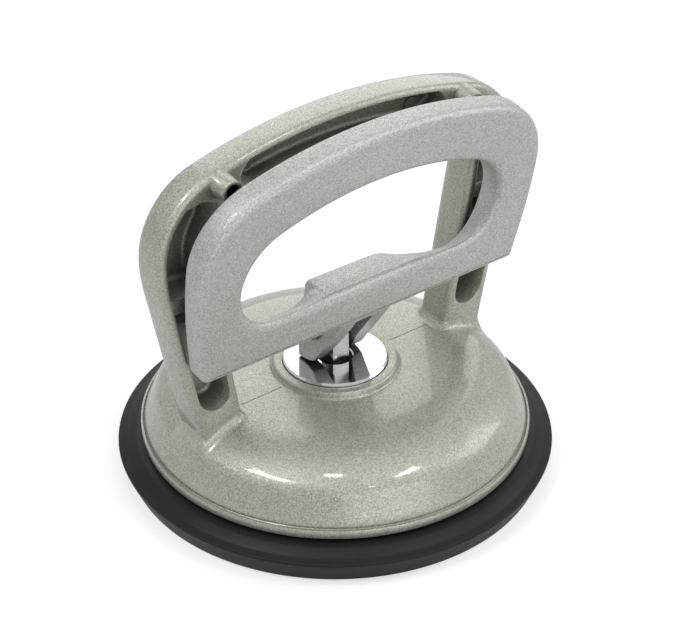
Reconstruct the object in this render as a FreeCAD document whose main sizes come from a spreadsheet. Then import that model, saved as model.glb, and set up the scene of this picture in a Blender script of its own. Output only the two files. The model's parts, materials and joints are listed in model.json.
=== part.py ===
import FreeCAD, Part
import math
import os
import Sketcher
from FreeCAD import Placement, Rotation, Vector

# Floor tile suction lifter. Millimetres, origin on the floor under the cup's centre,
# +X along the handle, lever on the -Y side.

doc = FreeCAD.newDocument("lifter")
sheet = doc.addObject("Spreadsheet::Sheet", "sizes")

ROWS = [
    # rubber cup
    ("cupRadius", 60.0), ("cupFootRadius", 57.3), ("cupEdgeHeight", 6.9),
    ("cupSeatHeight", 9.5), ("cupSeatInner", 48.0), ("cupCentreTop", 10.2),
    ("cupHollowDepth", 5.5), ("cupHollowFlat", 24.0), ("cupLipInner", 50.5), ("cupRidgeInset", 4.5),
    # dome
    ("rimRadius", 53.5), ("rimHeight", 12.2), ("wallFootHeight", 14.2), ("rimLand", 5.3),
    ("shoulderRadius", 7.74), ("shoulderSteep", 66.0), ("domeArcRadius", 28.6),
    ("domeArcTurn", 33.5), ("domeFlatInset", 22.5), ("domeTop", 28.05), ("wallThick", 4.0),
    ("collarRadius", 17.15), ("collarTop", 29.85), ("ceiling", 24.1), ("guideBossRadius", 10.0),
    # wear disc and guide bush
    ("discRadius", 14.34), ("discTop", 30.7), ("discThick", 1.8), ("discHole", 4.7),
    ("bushFlangeRadius", 7.0), ("bushFlangeThick", 1.2), ("bushRadius", 4.7), ("bushFoot", 21.5),
    # fixed handle
    ("handleFront", 5.2), ("handleDepth", 12.2), ("handleBackRound", 5.0), ("handleFrontEdge", 0.8),
    ("archTop", 109.0), ("archCrown", 145.0), ("archCorner", 19.0), ("archHalf", 58.0),
    ("archSide", 60.0), ("archSlope", 0.22), ("archFoot", 21.9),
    ("gripTop", 95.0), ("gripCrown", 131.0), ("gripCorner", 12.0), ("gripHalf", 42.5),
    ("gripSide", 30.0), ("gripSlope", 0.17),
    ("capTop", 4.3), ("capTopDrop", 0.9), ("capSide", 3.1), ("capSideRise", 3.4), ("capFoot", 0.8),
    ("skin", 2.3), ("pocketDepth", 8.2), ("pocketLow", 38.4), ("pocketWeb", 67.0),
    ("stopX", 37.8), ("stopZ", 100.0), ("stopRadius", 4.0), ("stopBore", 2.25), ("stopReach", 5.0),
    # lever, in its own frame: origin on the pivot, upright
    ("pivotHeight", 44.0), ("leverLean", 9.15), ("leverFront", 12.57), ("leverThick", 7.27),
    ("leverTop", 67.1), ("leverCrown", 127.0), ("leverCorner", 22.0), ("leverHalf", 54.2),
    ("leverSide", 150.0), ("leverSlope", 0.155), ("leverBottom", 7.1), ("leverToe", 1.8),
    ("windowTop", 52.4), ("windowCrown", 88.0), ("windowCorner", 16.0), ("windowHalf", 41.0),
    ("windowSide", 12.0), ("windowSlope", 0.25), ("windowBottom", 19.4), ("windowToe", 11.0),
    ("sillDrop", 4.3), ("leverRound", 1.7), ("leverBackEdge", 0.8),
    ("hubHalf", 13.5), ("hubTop", 19.6), ("hubBack", 2.0),
    ("earOuter", 8.3), ("earInner", 2.8), ("earBossRadius", 6.0), ("camGap", 0.4), ("camLift", 4.5),
    ("camFirst", -5.0), ("camLast", 30.0), ("slotTop", 7.1), ("slotFlare", 5.0), ("slotFlareTop", -3.5),
    ("hubSlope", 0.7), ("rampHigh", 18.4), ("rampLow", 16.4), ("rampReach", 8.0), ("rampTail", 6.0),
    # rod, pin, clips
    ("pinRadius", 3.0), ("pinHalf", 10.9), ("pinFit", 0.02), ("clipIn", 8.6), ("clipThick", 0.9),
    ("clipRadius", 4.5), ("clipGroove", 2.55), ("eyeRadius", 6.0), ("eyeHalf", 2.7), ("eyeFit", 0.06),
    ("rodRadius", 2.95), ("rodFit", 0.05), ("rodFoot", 13.0), ("barEdge", 0.35), ("barGap", 0.4),
    # plate, washer, nut, spring
    ("plateRadius", 28.0), ("plateThick", 2.5), ("hubRadius", 7.0), ("hubHeight", 3.5),
    ("washerThick", 1.4), ("washerRadius", 5.4), ("nutThick", 3.2), ("nutFlats", 10.0),
    ("springRadius", 13.0), ("springWire", 1.6), ("springTurns", 3.5), ("springStepsPerTurn", 16.0), ("seatThick", 1.2),
    ("seatOuter", 16.5), ("seatInner", 10.1),
]

for row, (name, value) in enumerate(ROWS, start=1):
    sheet.set("A%d" % row, name)
    sheet.set("B%d" % row, repr(value))
    sheet.setAlias("B%d" % row, name)
doc.recompute()

S = {name: float(sheet.get(name)) for name, value in ROWS}
UP = Vector(0, 0, 1)


def line(a, b):
    return Part.LineSegment(Vector(a[0], a[1], 0), Vector(b[0], b[1], 0))


def arc(centre, radius, start, end):
    return Part.ArcOfCircle(Part.Circle(Vector(centre[0], centre[1], 0), UP, radius), start, end)


def arcThrough(a, b, c):
    return Part.Arc(Vector(a[0], a[1], 0), Vector(b[0], b[1], 0), Vector(c[0], c[1], 0))


def circle(centre, radius):
    return Part.Circle(Vector(centre[0], centre[1], 0), UP, radius)


def polygon(points):
    return [line(a, b) for a, b in zip(points, points[1:] + points[:1])]


class Arch:
    """An arch outline: crown arc, corner arcs, side arcs, sloping legs."""

    def __init__(self, prefix, bottom, toe=0.0, grow=0.0):
        self.crown = S[prefix + "Crown"] + grow
        self.corner = S[prefix + "Corner"] + grow
        self.side = S[prefix + "Side"] + grow
        self.half = S[prefix + "Half"] + grow
        self.lean = math.atan(S[prefix + "Slope"])
        self.slope = S[prefix + "Slope"]
        self.bottom = bottom
        self.toe = toe
        self.zCrown = S[prefix + "Top"] + grow - self.crown
        self.xCorner = self.half - self.corner
        reach = self.crown - self.corner
        self.zCorner = self.zCrown + math.sqrt(reach ** 2 - self.xCorner ** 2)
        self.turn = math.atan2(self.zCorner - self.zCrown, self.xCorner)
        self.xSide = self.half - self.side
        self.knee = (self.xSide + self.side * math.cos(self.lean),
                     self.zCorner - self.side * math.sin(self.lean))

    def legX(self, z):
        return self.knee[0] - self.slope * (self.knee[1] - z)

    def onCorner(self, angle):
        return (self.xCorner + self.corner * math.cos(angle), self.zCorner + self.corner * math.sin(angle))

    def onCrown(self, angle):
        return (self.crown * math.cos(angle), self.zCrown + self.crown * math.sin(angle))

    def outline(self):
        parts = [arc((0, self.zCrown), self.crown, self.turn, math.pi - self.turn)]
        z = self.bottom + self.toe
        x = self.legX(z) - self.toe / math.cos(self.lean)
        legFoot = (x + self.toe * math.cos(self.lean), z - self.toe * math.sin(self.lean))
        for sign in (1, -1):
            flip = lambda p: (sign * p[0], p[1])
            mirrored = (lambda a, b: (a, b)) if sign > 0 else (lambda a, b: (math.pi - b, math.pi - a))
            parts.append(arc(flip((self.xCorner, self.zCorner)), self.corner, *mirrored(0, self.turn)))
            parts.append(arc(flip((self.xSide, self.zCorner)), self.side, *mirrored(-self.lean, 0)))
            parts.append(line(flip(self.knee), flip(legFoot)))
            if self.toe > 0:
                parts.append(arc(flip((x, z)), self.toe, *mirrored(-math.pi / 2, -self.lean)))
        parts.append(line((-x, self.bottom), (x, self.bottom)))
        return parts


def newBody(name, placement=None):
    body = doc.addObject("PartDesign::Body", name)
    body.Label = name
    if placement:
        body.Placement = placement
    return body


def newSketch(body, name, role, geometry, offset=0.0):
    sketch = body.newObject("Sketcher::SketchObject", name)
    plane = [f for f in body.Origin.OriginFeatures if f.Role == role][0]
    sketch.AttachmentSupport = [(plane, "")]
    sketch.MapMode = "FlatFace"
    sketch.AttachmentOffset = Placement(Vector(0, 0, offset), Rotation())
    sketch.addGeometry(geometry, False)
    return sketch


def addFeature(body, kind, name, sketch, **values):
    feature = body.newObject("PartDesign::" + kind, name)
    feature.Profile = sketch
    for key, value in values.items():
        if isinstance(value, str):
            feature.setExpression(key, value)
        else:
            setattr(feature, key, value)
    sketch.Visibility = False
    return feature


def pad(body, name, sketch, length, symmetric=False):
    feature = addFeature(body, "Pad", name, sketch, Length=length)
    if symmetric:
        feature.Midplane = True
    return feature


def pocket(body, name, sketch, length, symmetric=False):
    doc.recompute()
    before = body.Shape.Volume
    feature = addFeature(body, "Pocket", name, sketch, Length=length)
    if symmetric:
        feature.Midplane = True
    doc.recompute()
    if not feature.Shape.Volume < before - 0.01:
        raise RuntimeError(name + " cuts nothing")
    return feature


def revolve(body, name, profile):
    sketch = newSketch(body, name + "Profile", "XZ_Plane", profile)
    feature = body.newObject("PartDesign::Revolution", name)
    feature.Profile = sketch
    feature.ReferenceAxis = (sketch, ["V_Axis"])
    feature.Angle = 360.0
    sketch.Visibility = False
    return feature


def dress(body, kind, name, base, key, size, test):
    doc.recompute()
    edges = ["Edge%d" % (i + 1) for i, e in enumerate(base.Shape.Edges) if test(e)]
    if not edges:
        raise RuntimeError(name + " finds no edge")
    feature = body.newObject("PartDesign::" + kind, name)
    feature.Base = (base, edges)
    feature.setExpression(key, size)
    doc.recompute()
    return feature


def fillet(body, name, base, radius, test):
    return dress(body, "Fillet", name, base, "Radius", radius, test)


def chamfer(body, name, base, size, test):
    return dress(body, "Chamfer", name, base, "Size", size, test)


def level(edge, axis, value, tol=0.01):
    box = edge.BoundBox
    low, high = {"x": (box.XMin, box.XMax), "y": (box.YMin, box.YMax), "z": (box.ZMin, box.ZMax)}[axis]
    return abs(low - value) < tol and abs(high - value) < tol


def export(obj, name):
    obj.Label = name
    exports[name] = obj


exports = {}


def makeCup():
    body = newBody("cup")
    seat = S["cupSeatHeight"]
    profile = polygon([
        (0, S["cupHollowDepth"]), (S["cupHollowFlat"], S["cupHollowDepth"]),
        (S["cupLipInner"] - 4.5, 1.2), (S["cupLipInner"], 0), (S["cupFootRadius"], 0),
        (S["cupRadius"], S["cupEdgeHeight"] - 0.3), (S["cupRadius"] - 0.5, S["cupEdgeHeight"] + 0.1),
        (S["cupRadius"] - S["cupRidgeInset"], seat - 0.75), (S["rimRadius"] - 1.1, seat),
        (S["cupSeatInner"], seat), (S["cupSeatInner"] - 4, S["cupCentreTop"]), (0, S["cupCentreTop"])])
    revolve(body, "cupForm", profile)
    export(body, "cup")


def domeProfile():
    seat = S["cupSeatHeight"]
    top = S["domeTop"]
    discFloor = S["discTop"] - S["discThick"]
    recess = S["discRadius"] + 0.06
    counter = S["bushFlangeRadius"] + 0.05
    bore = S["bushRadius"] + 0.03
    turn = math.radians(S["domeArcTurn"])
    steep = math.radians(S["shoulderSteep"])
    big = S["domeArcRadius"]
    small = S["shoulderRadius"]
    flat = (S["rimRadius"] - S["domeFlatInset"], top)
    bigCentre = (flat[0], top - big)
    joint = (flat[0] + big * math.sin(turn), top - big + big * math.cos(turn))
    smallCentre = (joint[0] - small * math.sin(turn), joint[1] - small * math.cos(turn))
    wallTop = (smallCentre[0] + small * math.sin(steep), smallCentre[1] + small * math.cos(steep))
    wallFoot = (wallTop[0] + (wallTop[1] - S["wallFootHeight"]) / math.tan(steep), S["wallFootHeight"])
    rim = S["rimRadius"]
    collar = S["collarRadius"]
    parts = [
        line((bore, S["bushFoot"]), (bore, discFloor - S["bushFlangeThick"])),
        line((bore, discFloor - S["bushFlangeThick"]), (counter, discFloor - S["bushFlangeThick"])),
        line((counter, discFloor - S["bushFlangeThick"]), (counter, discFloor)),
        line((counter, discFloor), (recess, discFloor)),
        line((recess, discFloor), (recess, S["collarTop"])),
        line((recess, S["collarTop"]), (collar - 0.6, S["collarTop"])),
        line((collar - 0.6, S["collarTop"]), (collar, S["collarTop"] - 0.6)),
        line((collar, S["collarTop"] - 0.6), (collar + 0.9, top)),
        line((collar + 0.9, top), flat),
        arc(bigCentre, big, math.pi / 2 - turn, math.pi / 2),
        arc(smallCentre, small, math.pi / 2 - steep, math.pi / 2 - turn),
        line(wallTop, wallFoot),
        line(wallFoot, (wallFoot[0] + 0.35, S["rimHeight"] + 0.8)),
        line((wallFoot[0] + 0.35, S["rimHeight"] + 0.8), (rim - 0.5, S["rimHeight"] + 0.7)),
        line((rim - 0.5, S["rimHeight"] + 0.7), (rim, S["rimHeight"] + 0.1)),
        line((rim, S["rimHeight"] + 0.1), (rim, seat + 1.2)),
        line((rim, seat + 1.2), (rim - 1.2, seat)),
    ]
    land = rim - S["rimLand"]
    wall = S["wallThick"]
    inside = [(rim - 1.2, seat), (land, seat), (land, S["wallFootHeight"]), (joint[0] - wall, S["archFoot"] - 1.9),
              (flat[0] + 2, S["archFoot"] - 0.1), (flat[0] - 1, S["ceiling"]), (S["guideBossRadius"], S["ceiling"]),
              (S["guideBossRadius"], S["bushFoot"]), (bore, S["bushFoot"])]
    parts += [line(a, b) for a, b in zip(inside, inside[1:])]
    return parts


def handlePockets():
    outer = Arch("arch", S["archFoot"], grow=-S["skin"])
    inner = Arch("grip", S["archFoot"], grow=S["skin"])
    geometry = []
    low = S["pocketLow"]
    web = S["pocketWeb"]
    knee = outer.knee[1]
    for sign in (1, -1):
        flip = lambda p: (sign * p[0], p[1])
        turnTo = (lambda a, b: (a, b)) if sign > 0 else (lambda a, b: (math.pi - b, math.pi - a))
        a, b = (outer.legX(low), low), (inner.legX(low), low)
        c, d = (inner.legX(web), web), (outer.legX(web), web)
        bulge = ((a[0] + b[0]) / 2 - S["capFoot"], low - (a[0] - b[0]) / 2)
        geometry += [arcThrough(flip(a), flip(bulge), flip(b)), line(flip(b), flip(c)),
                     line(flip(c), flip(d)), line(flip(d), flip(a))]
        outEnd, inEnd = math.radians(48), math.radians(40)
        p, q = outer.onCorner(outEnd), inner.onCorner(inEnd)
        cap = ((p[0] + q[0]) / 2 - S["capSide"], (p[1] + q[1]) / 2 + S["capSideRise"])
        start = (inner.legX(knee), knee)
        geometry += [
            arc(flip((outer.xSide, outer.zCorner)), outer.side, *turnTo(-outer.lean, 0)),
            arc(flip((outer.xCorner, outer.zCorner)), outer.corner, *turnTo(0, outEnd)),
            arcThrough(flip(p), flip(cap), flip(q)),
            arc(flip((inner.xCorner, inner.zCorner)), inner.corner, *turnTo(0, inEnd)),
            arc(flip((inner.xSide, inner.zCorner)), inner.side, *turnTo(-inner.lean, 0)),
            line(flip(inner.knee), flip(start)), line(flip(start), flip(outer.knee))]
    half = math.radians(11.5)
    upright = math.pi / 2
    geometry.append(arc((0, outer.zCrown), outer.crown, upright - half, upright + half))
    geometry.append(arc((0, inner.zCrown), inner.crown, upright - half, upright + half))
    for sign in (1, -1):
        a, b = outer.onCrown(upright - sign * half), inner.onCrown(upright - sign * half)
        cap = ((a[0] + b[0]) / 2 + sign * S["capTop"], (a[1] + b[1]) / 2 - S["capTopDrop"])
        geometry.append(arcThrough(a, cap, b))
    return geometry


def makeHousing():
    body = newBody("housing")
    front = S["handleFront"]
    back = S["handleDepth"] - front
    outer = Arch("arch", S["archFoot"])
    inner = Arch("grip", S["archFoot"])
    slab = newSketch(body, "archOutline", "XZ_Plane", outer.outline(), -back)
    arch = pad(body, "archSlab", slab, "sizes.handleDepth")
    grip = newSketch(body, "gripOutline", "XZ_Plane", inner.outline(), front + 1.0)
    opening = pocket(body, "gripOpening", grip, "sizes.handleDepth + 2")
    onArch = lambda e, y: level(e, "y", y) and not level(e, "z", S["archFoot"])
    rounded = fillet(body, "backRound", opening, "sizes.handleBackRound", lambda e: onArch(e, back))
    chamfer(body, "frontEdges", rounded, "sizes.handleFrontEdge", lambda e: onArch(e, -front))
    hollows = newSketch(body, "pocketOutlines", "XZ_Plane", handlePockets(), front)
    pocket(body, "handlePockets", hollows, "sizes.pocketDepth")
    stops = [circle((sign * S["stopX"], S["stopZ"]), S["stopRadius"]) for sign in (1, -1)]
    stopSketch = newSketch(body, "stopOutlines", "XZ_Plane", stops, 0.0)
    pad(body, "leverStops", stopSketch, "sizes.handleFront + sizes.stopReach")
    bores = [circle((sign * S["stopX"], S["stopZ"]), S["stopBore"]) for sign in (1, -1)]
    boreSketch = newSketch(body, "stopBores", "XZ_Plane", bores, front + S["stopReach"])
    pocket(body, "stopHoles", boreSketch, "sizes.stopReach + sizes.pocketDepth")
    dome = revolve(body, "dome", domeProfile())
    doc.recompute()
    export(body, "housing")


def camPoints():
    lean = math.radians(S["leverLean"])
    points = []
    steps = 12
    for i in range(steps + 1):
        phi = math.radians(S["camFirst"] + (S["camLast"] - S["camFirst"]) * i / steps)
        reach = S["pivotHeight"] - S["discTop"] - S["camGap"] - S["camLift"] * phi
        y = -reach * math.sin(phi) + S["camLift"] * math.cos(phi)
        z = -reach * math.cos(phi) - S["camLift"] * math.sin(phi)
        points.append((y * math.cos(lean) + z * math.sin(lean), -y * math.sin(lean) + z * math.cos(lean)))
    return points


def earProfile():
    cam = camPoints()
    boss = S["earBossRadius"]
    curve = Part.BSplineCurve()
    curve.interpolate([Vector(y, z, 0) for y, z in cam])
    front, back = cam[-1], cam[0]
    knee = (-S["leverFront"] + 0.5, S["leverBottom"])
    rise = math.radians(35)
    tangent = (boss * math.cos(rise), boss * math.sin(rise))
    return [
        curve,
        line(front, knee), line(knee, (knee[0], S["leverBottom"] + 4)),
        line((knee[0], S["leverBottom"] + 4), (-S["hubBack"], S["leverBottom"] + 8)),
        line((-S["hubBack"], S["leverBottom"] + 8), tangent),
        arc((0, 0), boss, 0, rise),
        line((boss, 0), back)]


def makeLever():
    lean = Placement(Vector(0, 0, S["pivotHeight"]), Rotation(Vector(1, 0, 0), S["leverLean"]))
    body = newBody("lever", lean)
    front = S["leverFront"]
    back = S["leverThick"] - front
    outer = Arch("lever", S["leverBottom"], S["leverToe"])
    window = Arch("window", S["windowBottom"], S["windowToe"])
    slab = newSketch(body, "leverOutline", "XZ_Plane", outer.outline(), -back)
    pad(body, "leverSlab", slab, "sizes.leverThick")
    cut = newSketch(body, "windowOutline", "XZ_Plane", window.outline(), front + 1.0)
    ring = pocket(body, "leverWindow", cut, "sizes.leverThick + 2")
    rounded = fillet(body, "leverFrontRound", ring, "sizes.leverRound", lambda e: level(e, "y", -front))
    chamfer(body, "leverBackEdges", rounded, "sizes.leverBackEdge", lambda e: level(e, "y", back))
    sill = newSketch(body, "sillWedge", "YZ_Plane", polygon([
        (-front + 2.0, S["windowBottom"]), (back + 0.5, S["windowBottom"] - S["sillDrop"]),
        (back + 0.5, S["windowBottom"] + 0.5), (-front + 2.0, S["windowBottom"] + 0.5)]))
    pocket(body, "slopedSill", sill, "52", True)
    hub = newSketch(body, "hubOutline", "YZ_Plane", polygon([
        (-front + 1.0, S["leverBottom"]), (-front + 1.0, S["hubTop"] - 1.0), (-front + 2.0, S["hubTop"]),
        (-S["hubBack"], S["hubTop"] - S["hubSlope"]), (-S["hubBack"], S["leverBottom"])]))
    pad(body, "hubBlock", hub, "2 * sizes.hubHalf", True)
    low = S["windowBottom"] - S["sillDrop"]
    foot = S["hubHalf"] + S["rampReach"]
    ramp = newSketch(body, "rampOutline", "XZ_Plane", polygon([
        (0, S["leverBottom"] + 2), (0, S["rampHigh"]), (S["hubHalf"], S["rampHigh"]), (foot, S["rampLow"]),
        (foot + S["rampTail"], low), (foot + S["rampTail"], S["leverBottom"] + 2)]), -back)
    pad(body, "hubRamp", ramp, "sizes.leverThick - 2")
    ears = newSketch(body, "earOutline", "YZ_Plane", earProfile())
    pad(body, "ears", ears, "2 * sizes.earOuter", True)
    inner, wide = S["earInner"], S["slotFlare"]
    slot = newSketch(body, "slotOutline", "XZ_Plane", polygon([
        (-inner, S["slotTop"]), (inner, S["slotTop"]), (inner, S["slotFlareTop"]), (wide, -14),
        (-wide, -14), (-inner, S["slotFlareTop"])]))
    pocket(body, "rodSlot", slot, "4 * sizes.leverFront", True)
    bore = newSketch(body, "pinBore", "YZ_Plane", [circle((0, 0), S["pinRadius"] + S["pinFit"])])
    pocket(body, "pinHole", bore, "4 * sizes.earOuter", True)
    export(body, "lever")


def makeDiscAndBush():
    disc = newBody("wear_disc")
    low = S["discTop"] - S["discThick"]
    top = S["discTop"]
    outer = S["discRadius"]
    revolve(disc, "discForm", [
        line((S["discHole"], low), (outer, low)), line((outer, low), (outer, top - 0.4)),
        line((outer, top - 0.4), (outer - 0.4, top)), line((outer - 0.4, top), (S["discHole"] + 0.3, top)),
        line((S["discHole"] + 0.3, top), (S["discHole"], top - 0.3)),
        line((S["discHole"], top - 0.3), (S["discHole"], low))])
    export(disc, "wear_disc")
    bush = newBody("guide_bush")
    bore = math.hypot(S["eyeHalf"] - S["barEdge"], S["rodRadius"]) + S["rodFit"]
    flangeLow = low - S["bushFlangeThick"]
    revolve(bush, "bushForm", polygon([
        (bore, S["bushFoot"]), (S["bushRadius"], S["bushFoot"]), (S["bushRadius"], flangeLow),
        (S["bushFlangeRadius"], flangeLow), (S["bushFlangeRadius"], low), (bore + 0.3, low), (bore, low - 0.3)]))
    export(bush, "guide_bush")


def makeRod():
    body = newBody("pull_rod")
    nutTop = S["cupCentreTop"] + S["plateThick"] + S["hubHeight"] + S["washerThick"] + S["nutThick"]
    shank = newSketch(body, "shankOutline", "XY_Plane", [circle((0, 0), S["rodRadius"])], S["rodFoot"])
    pad(body, "shank", shank, "10")
    x, y, edge = S["eyeHalf"], S["rodRadius"], S["barEdge"]
    section = polygon([
        (x, edge - y), (x, y - edge), (x - edge, y), (edge - x, y),
        (-x, y - edge), (-x, edge - y), (edge - x, -y), (x - edge, -y)])
    bar = newSketch(body, "barOutline", "XY_Plane", section, nutTop + S["barGap"])
    pad(body, "bar", bar, "sizes.pivotHeight - %s" % (nutTop + S["barGap"]))
    eye = newSketch(body, "eyeOutline", "YZ_Plane", [circle((0, S["pivotHeight"]), S["eyeRadius"])])
    pad(body, "eye", eye, "2 * sizes.eyeHalf", True)
    bore = newSketch(body, "eyeBore", "YZ_Plane", [circle((0, S["pivotHeight"]), S["pinRadius"] + S["eyeFit"])])
    pocket(body, "eyeHole", bore, "20", True)
    export(body, "pull_rod")


def makePin():
    body = newBody("pivot_pin")
    half, edge = S["pinHalf"], S["clipIn"]
    wide, narrow = S["pinRadius"], S["clipGroove"]
    far = edge + S["clipThick"] + 0.1
    halfOutline = [(half - 0.4, 0), (half - 0.4, wide - 0.4), (half - 0.8, wide), (far, wide), (far, narrow),
                   (edge - 0.05, narrow), (edge - 0.05, wide)]
    ring = halfOutline + [(-x, r) for x, r in reversed(halfOutline)]
    height = S["pivotHeight"]
    sketch = newSketch(body, "pinProfile", "XY_Plane", polygon(ring), 0.0)
    feature = body.newObject("PartDesign::Revolution", "pinForm")
    feature.Profile = sketch
    feature.ReferenceAxis = (sketch, ["H_Axis"])
    feature.Angle = 360.0
    body.Placement = Placement(Vector(0, 0, height), Rotation())
    export(body, "pivot_pin")


def makeClip(name, sign):
    body = newBody(name, Placement(Vector(0, 0, S["pivotHeight"]), Rotation()))
    inner, outer = S["clipGroove"] + 0.05, S["clipRadius"]
    gap = math.radians(35)
    low, high = -math.pi / 2 + gap, 1.5 * math.pi - gap
    point = lambda r, a: (r * math.cos(a), r * math.sin(a))
    outline = [arc((0, 0), outer, low, high), arc((0, 0), inner, low, high),
               line(point(inner, low), point(outer, low)), line(point(inner, high), point(outer, high))]
    start = S["clipIn"] if sign > 0 else -S["clipIn"] - S["clipThick"]
    sketch = newSketch(body, name + "_outline", "YZ_Plane", outline, start)
    pad(body, name + "_ring", sketch, "sizes.clipThick")
    export(body, name)


def makePlateStack():
    low = S["cupCentreTop"]
    top = low + S["plateThick"]
    hubTop = top + S["hubHeight"]
    bore = S["rodRadius"] + S["rodFit"]
    plate = newBody("backing_plate")
    outer = S["plateRadius"]
    revolve(plate, "plateForm", polygon([
        (0, low), (outer, low), (outer, top - 0.5), (outer - 0.5, top), (S["hubRadius"] + 0.8, top),
        (S["hubRadius"], top + 0.8), (S["hubRadius"], hubTop), (bore, hubTop), (bore, top), (0, top)]))
    export(plate, "backing_plate")
    washer = newBody("lock_washer")
    inner, rim = bore + 0.1, S["washerRadius"]
    slit = 0.12
    point = lambda r, a: (r * math.cos(a), r * math.sin(a))
    outline = [arc((0, 0), rim, slit, 2 * math.pi - slit), arc((0, 0), inner, slit, 2 * math.pi - slit),
               line(point(inner, slit), point(rim, slit)), line(point(inner, -slit), point(rim, -slit))]
    washerSketch = newSketch(washer, "washerOutline", "XY_Plane", outline, hubTop)
    pad(washer, "washerForm", washerSketch, "sizes.washerThick")
    export(washer, "lock_washer")
    nut = newBody("jam_nut")
    corner = S["nutFlats"] / math.sqrt(3)
    hexagon = polygon([point(corner, math.pi / 3 * i) for i in range(6)])
    nutLow = hubTop + S["washerThick"]
    nutSketch = newSketch(nut, "nutOutline", "XY_Plane", hexagon + [circle((0, 0), bore)], nutLow)
    pad(nut, "nutForm", nutSketch, "sizes.nutThick")
    groove = newSketch(nut, "nutChamfer", "XZ_Plane", polygon([
        (corner - 0.75, nutLow + S["nutThick"]), (corner + 1, nutLow + S["nutThick"] - 1.0),
        (corner + 1, nutLow + S["nutThick"] + 1), (corner - 0.75, nutLow + S["nutThick"] + 1)]))
    doc.recompute()
    cone = nut.newObject("PartDesign::Groove", "nutCone")
    cone.Profile = groove
    cone.ReferenceAxis = (groove, ["V_Axis"])
    cone.Angle = 360.0
    export(nut, "jam_nut")


def makeSpringAndSeat():
    seat = newBody("spring_seat")
    top = S["ceiling"]
    low = top - S["seatThick"]
    revolve(seat, "seatForm", polygon([
        (S["seatInner"], low), (S["seatOuter"], low), (S["seatOuter"], top), (S["seatInner"], top)]))
    export(seat, "spring_seat")
    foot = S["cupCentreTop"] + S["plateThick"]
    height = low - foot - 0.6
    steps = int(S["springStepsPerTurn"] * S["springTurns"])
    path = doc.addObject("Part::Polygon", "springPath")
    path.Nodes = [Vector(S["springRadius"] * math.cos(2 * math.pi * S["springTurns"] * i / steps),
                         S["springRadius"] * math.sin(2 * math.pi * S["springTurns"] * i / steps),
                         foot + 0.3 + height * i / steps) for i in range(steps + 1)]
    section = doc.addObject("Part::RegularPolygon", "springSection")
    section.Polygon = 8
    section.setExpression("Circumradius", "sizes.springWire / 2")
    section.Placement = Placement(Vector(S["springRadius"], 0, foot + 0.3), Rotation(Vector(1, 0, 0), 90))
    coil = doc.addObject("Part::Sweep", "springCoil")
    coil.Sections = [section]
    coil.Spine = (path, [])
    coil.Solid = True
    coil.Transition = "Right corner"
    trim = doc.addObject("Part::Cylinder", "springTrim")
    trim.setExpression("Radius", "sizes.springRadius + 5")
    trim.Height = low - foot
    trim.Placement = Placement(Vector(0, 0, foot), Rotation())
    spring = doc.addObject("Part::Common", "return_spring")
    spring.Base = coil
    spring.Tool = trim
    export(spring, "return_spring")


makeCup()
makeHousing()
makeLever()
makeDiscAndBush()
makeRod()
makePin()
makeClip("pin_circlip_left", -1)
makeClip("pin_circlip_right", 1)
makePlateStack()
makeSpringAndSeat()
doc.recompute()

for obj in doc.Objects:
    if "Invalid" in obj.State or "Error" in obj.State:
        raise RuntimeError("%s is in state %s" % (obj.Name, obj.State))

os.makedirs("parts", exist_ok=True)
for name, obj in exports.items():
    shape = obj.Shape
    if shape.isNull() or not shape.isValid() or len(shape.Solids) != 1:
        raise RuntimeError("%s has a bad shape (%d solids)" % (name, len(shape.Solids)))
    shape.exportStep("parts/%s.step" % name)
    box = shape.BoundBox
    print("%-18s volume %9.1f  x %7.2f..%7.2f  y %7.2f..%7.2f  z %7.2f..%7.2f" % (
        name, shape.Volume, box.XMin, box.XMax, box.YMin, box.YMax, box.ZMin, box.ZMax))
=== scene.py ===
import bmesh
import bpy
import json
import math
from mathutils import Matrix, Vector

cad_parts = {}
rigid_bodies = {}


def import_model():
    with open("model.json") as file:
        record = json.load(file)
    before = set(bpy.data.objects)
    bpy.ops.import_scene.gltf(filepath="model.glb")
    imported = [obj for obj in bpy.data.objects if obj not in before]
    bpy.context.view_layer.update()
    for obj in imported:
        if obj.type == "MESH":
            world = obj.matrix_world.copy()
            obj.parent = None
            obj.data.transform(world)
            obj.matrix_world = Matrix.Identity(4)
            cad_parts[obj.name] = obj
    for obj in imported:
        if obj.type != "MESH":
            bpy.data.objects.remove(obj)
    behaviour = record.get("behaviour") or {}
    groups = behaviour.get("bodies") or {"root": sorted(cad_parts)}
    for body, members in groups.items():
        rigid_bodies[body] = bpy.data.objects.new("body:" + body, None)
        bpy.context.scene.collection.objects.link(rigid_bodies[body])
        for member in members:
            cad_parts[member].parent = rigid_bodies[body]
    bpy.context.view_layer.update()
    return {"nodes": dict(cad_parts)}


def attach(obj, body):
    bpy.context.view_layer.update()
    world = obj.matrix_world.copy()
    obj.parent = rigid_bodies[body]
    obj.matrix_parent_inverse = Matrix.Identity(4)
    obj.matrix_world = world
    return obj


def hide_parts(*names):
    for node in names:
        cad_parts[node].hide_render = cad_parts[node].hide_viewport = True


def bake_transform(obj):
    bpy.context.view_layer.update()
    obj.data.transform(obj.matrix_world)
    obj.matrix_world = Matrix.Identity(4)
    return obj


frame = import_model()
mm = 0.001
nodes = frame["nodes"]
print("frame loaded")


# small helpers around the edit tools

def only(obj):
    if bpy.context.object and bpy.context.object.mode != "OBJECT":
        bpy.ops.object.mode_set(mode="OBJECT")
    bpy.ops.object.select_all(action="DESELECT")
    if obj:
        obj.select_set(True)
        bpy.context.view_layer.objects.active = obj


def editAll(obj, kind="VERT"):
    only(obj)
    bpy.ops.object.mode_set(mode="EDIT")
    bpy.ops.mesh.select_mode(type=kind)
    bpy.ops.mesh.select_all(action="SELECT")


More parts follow.
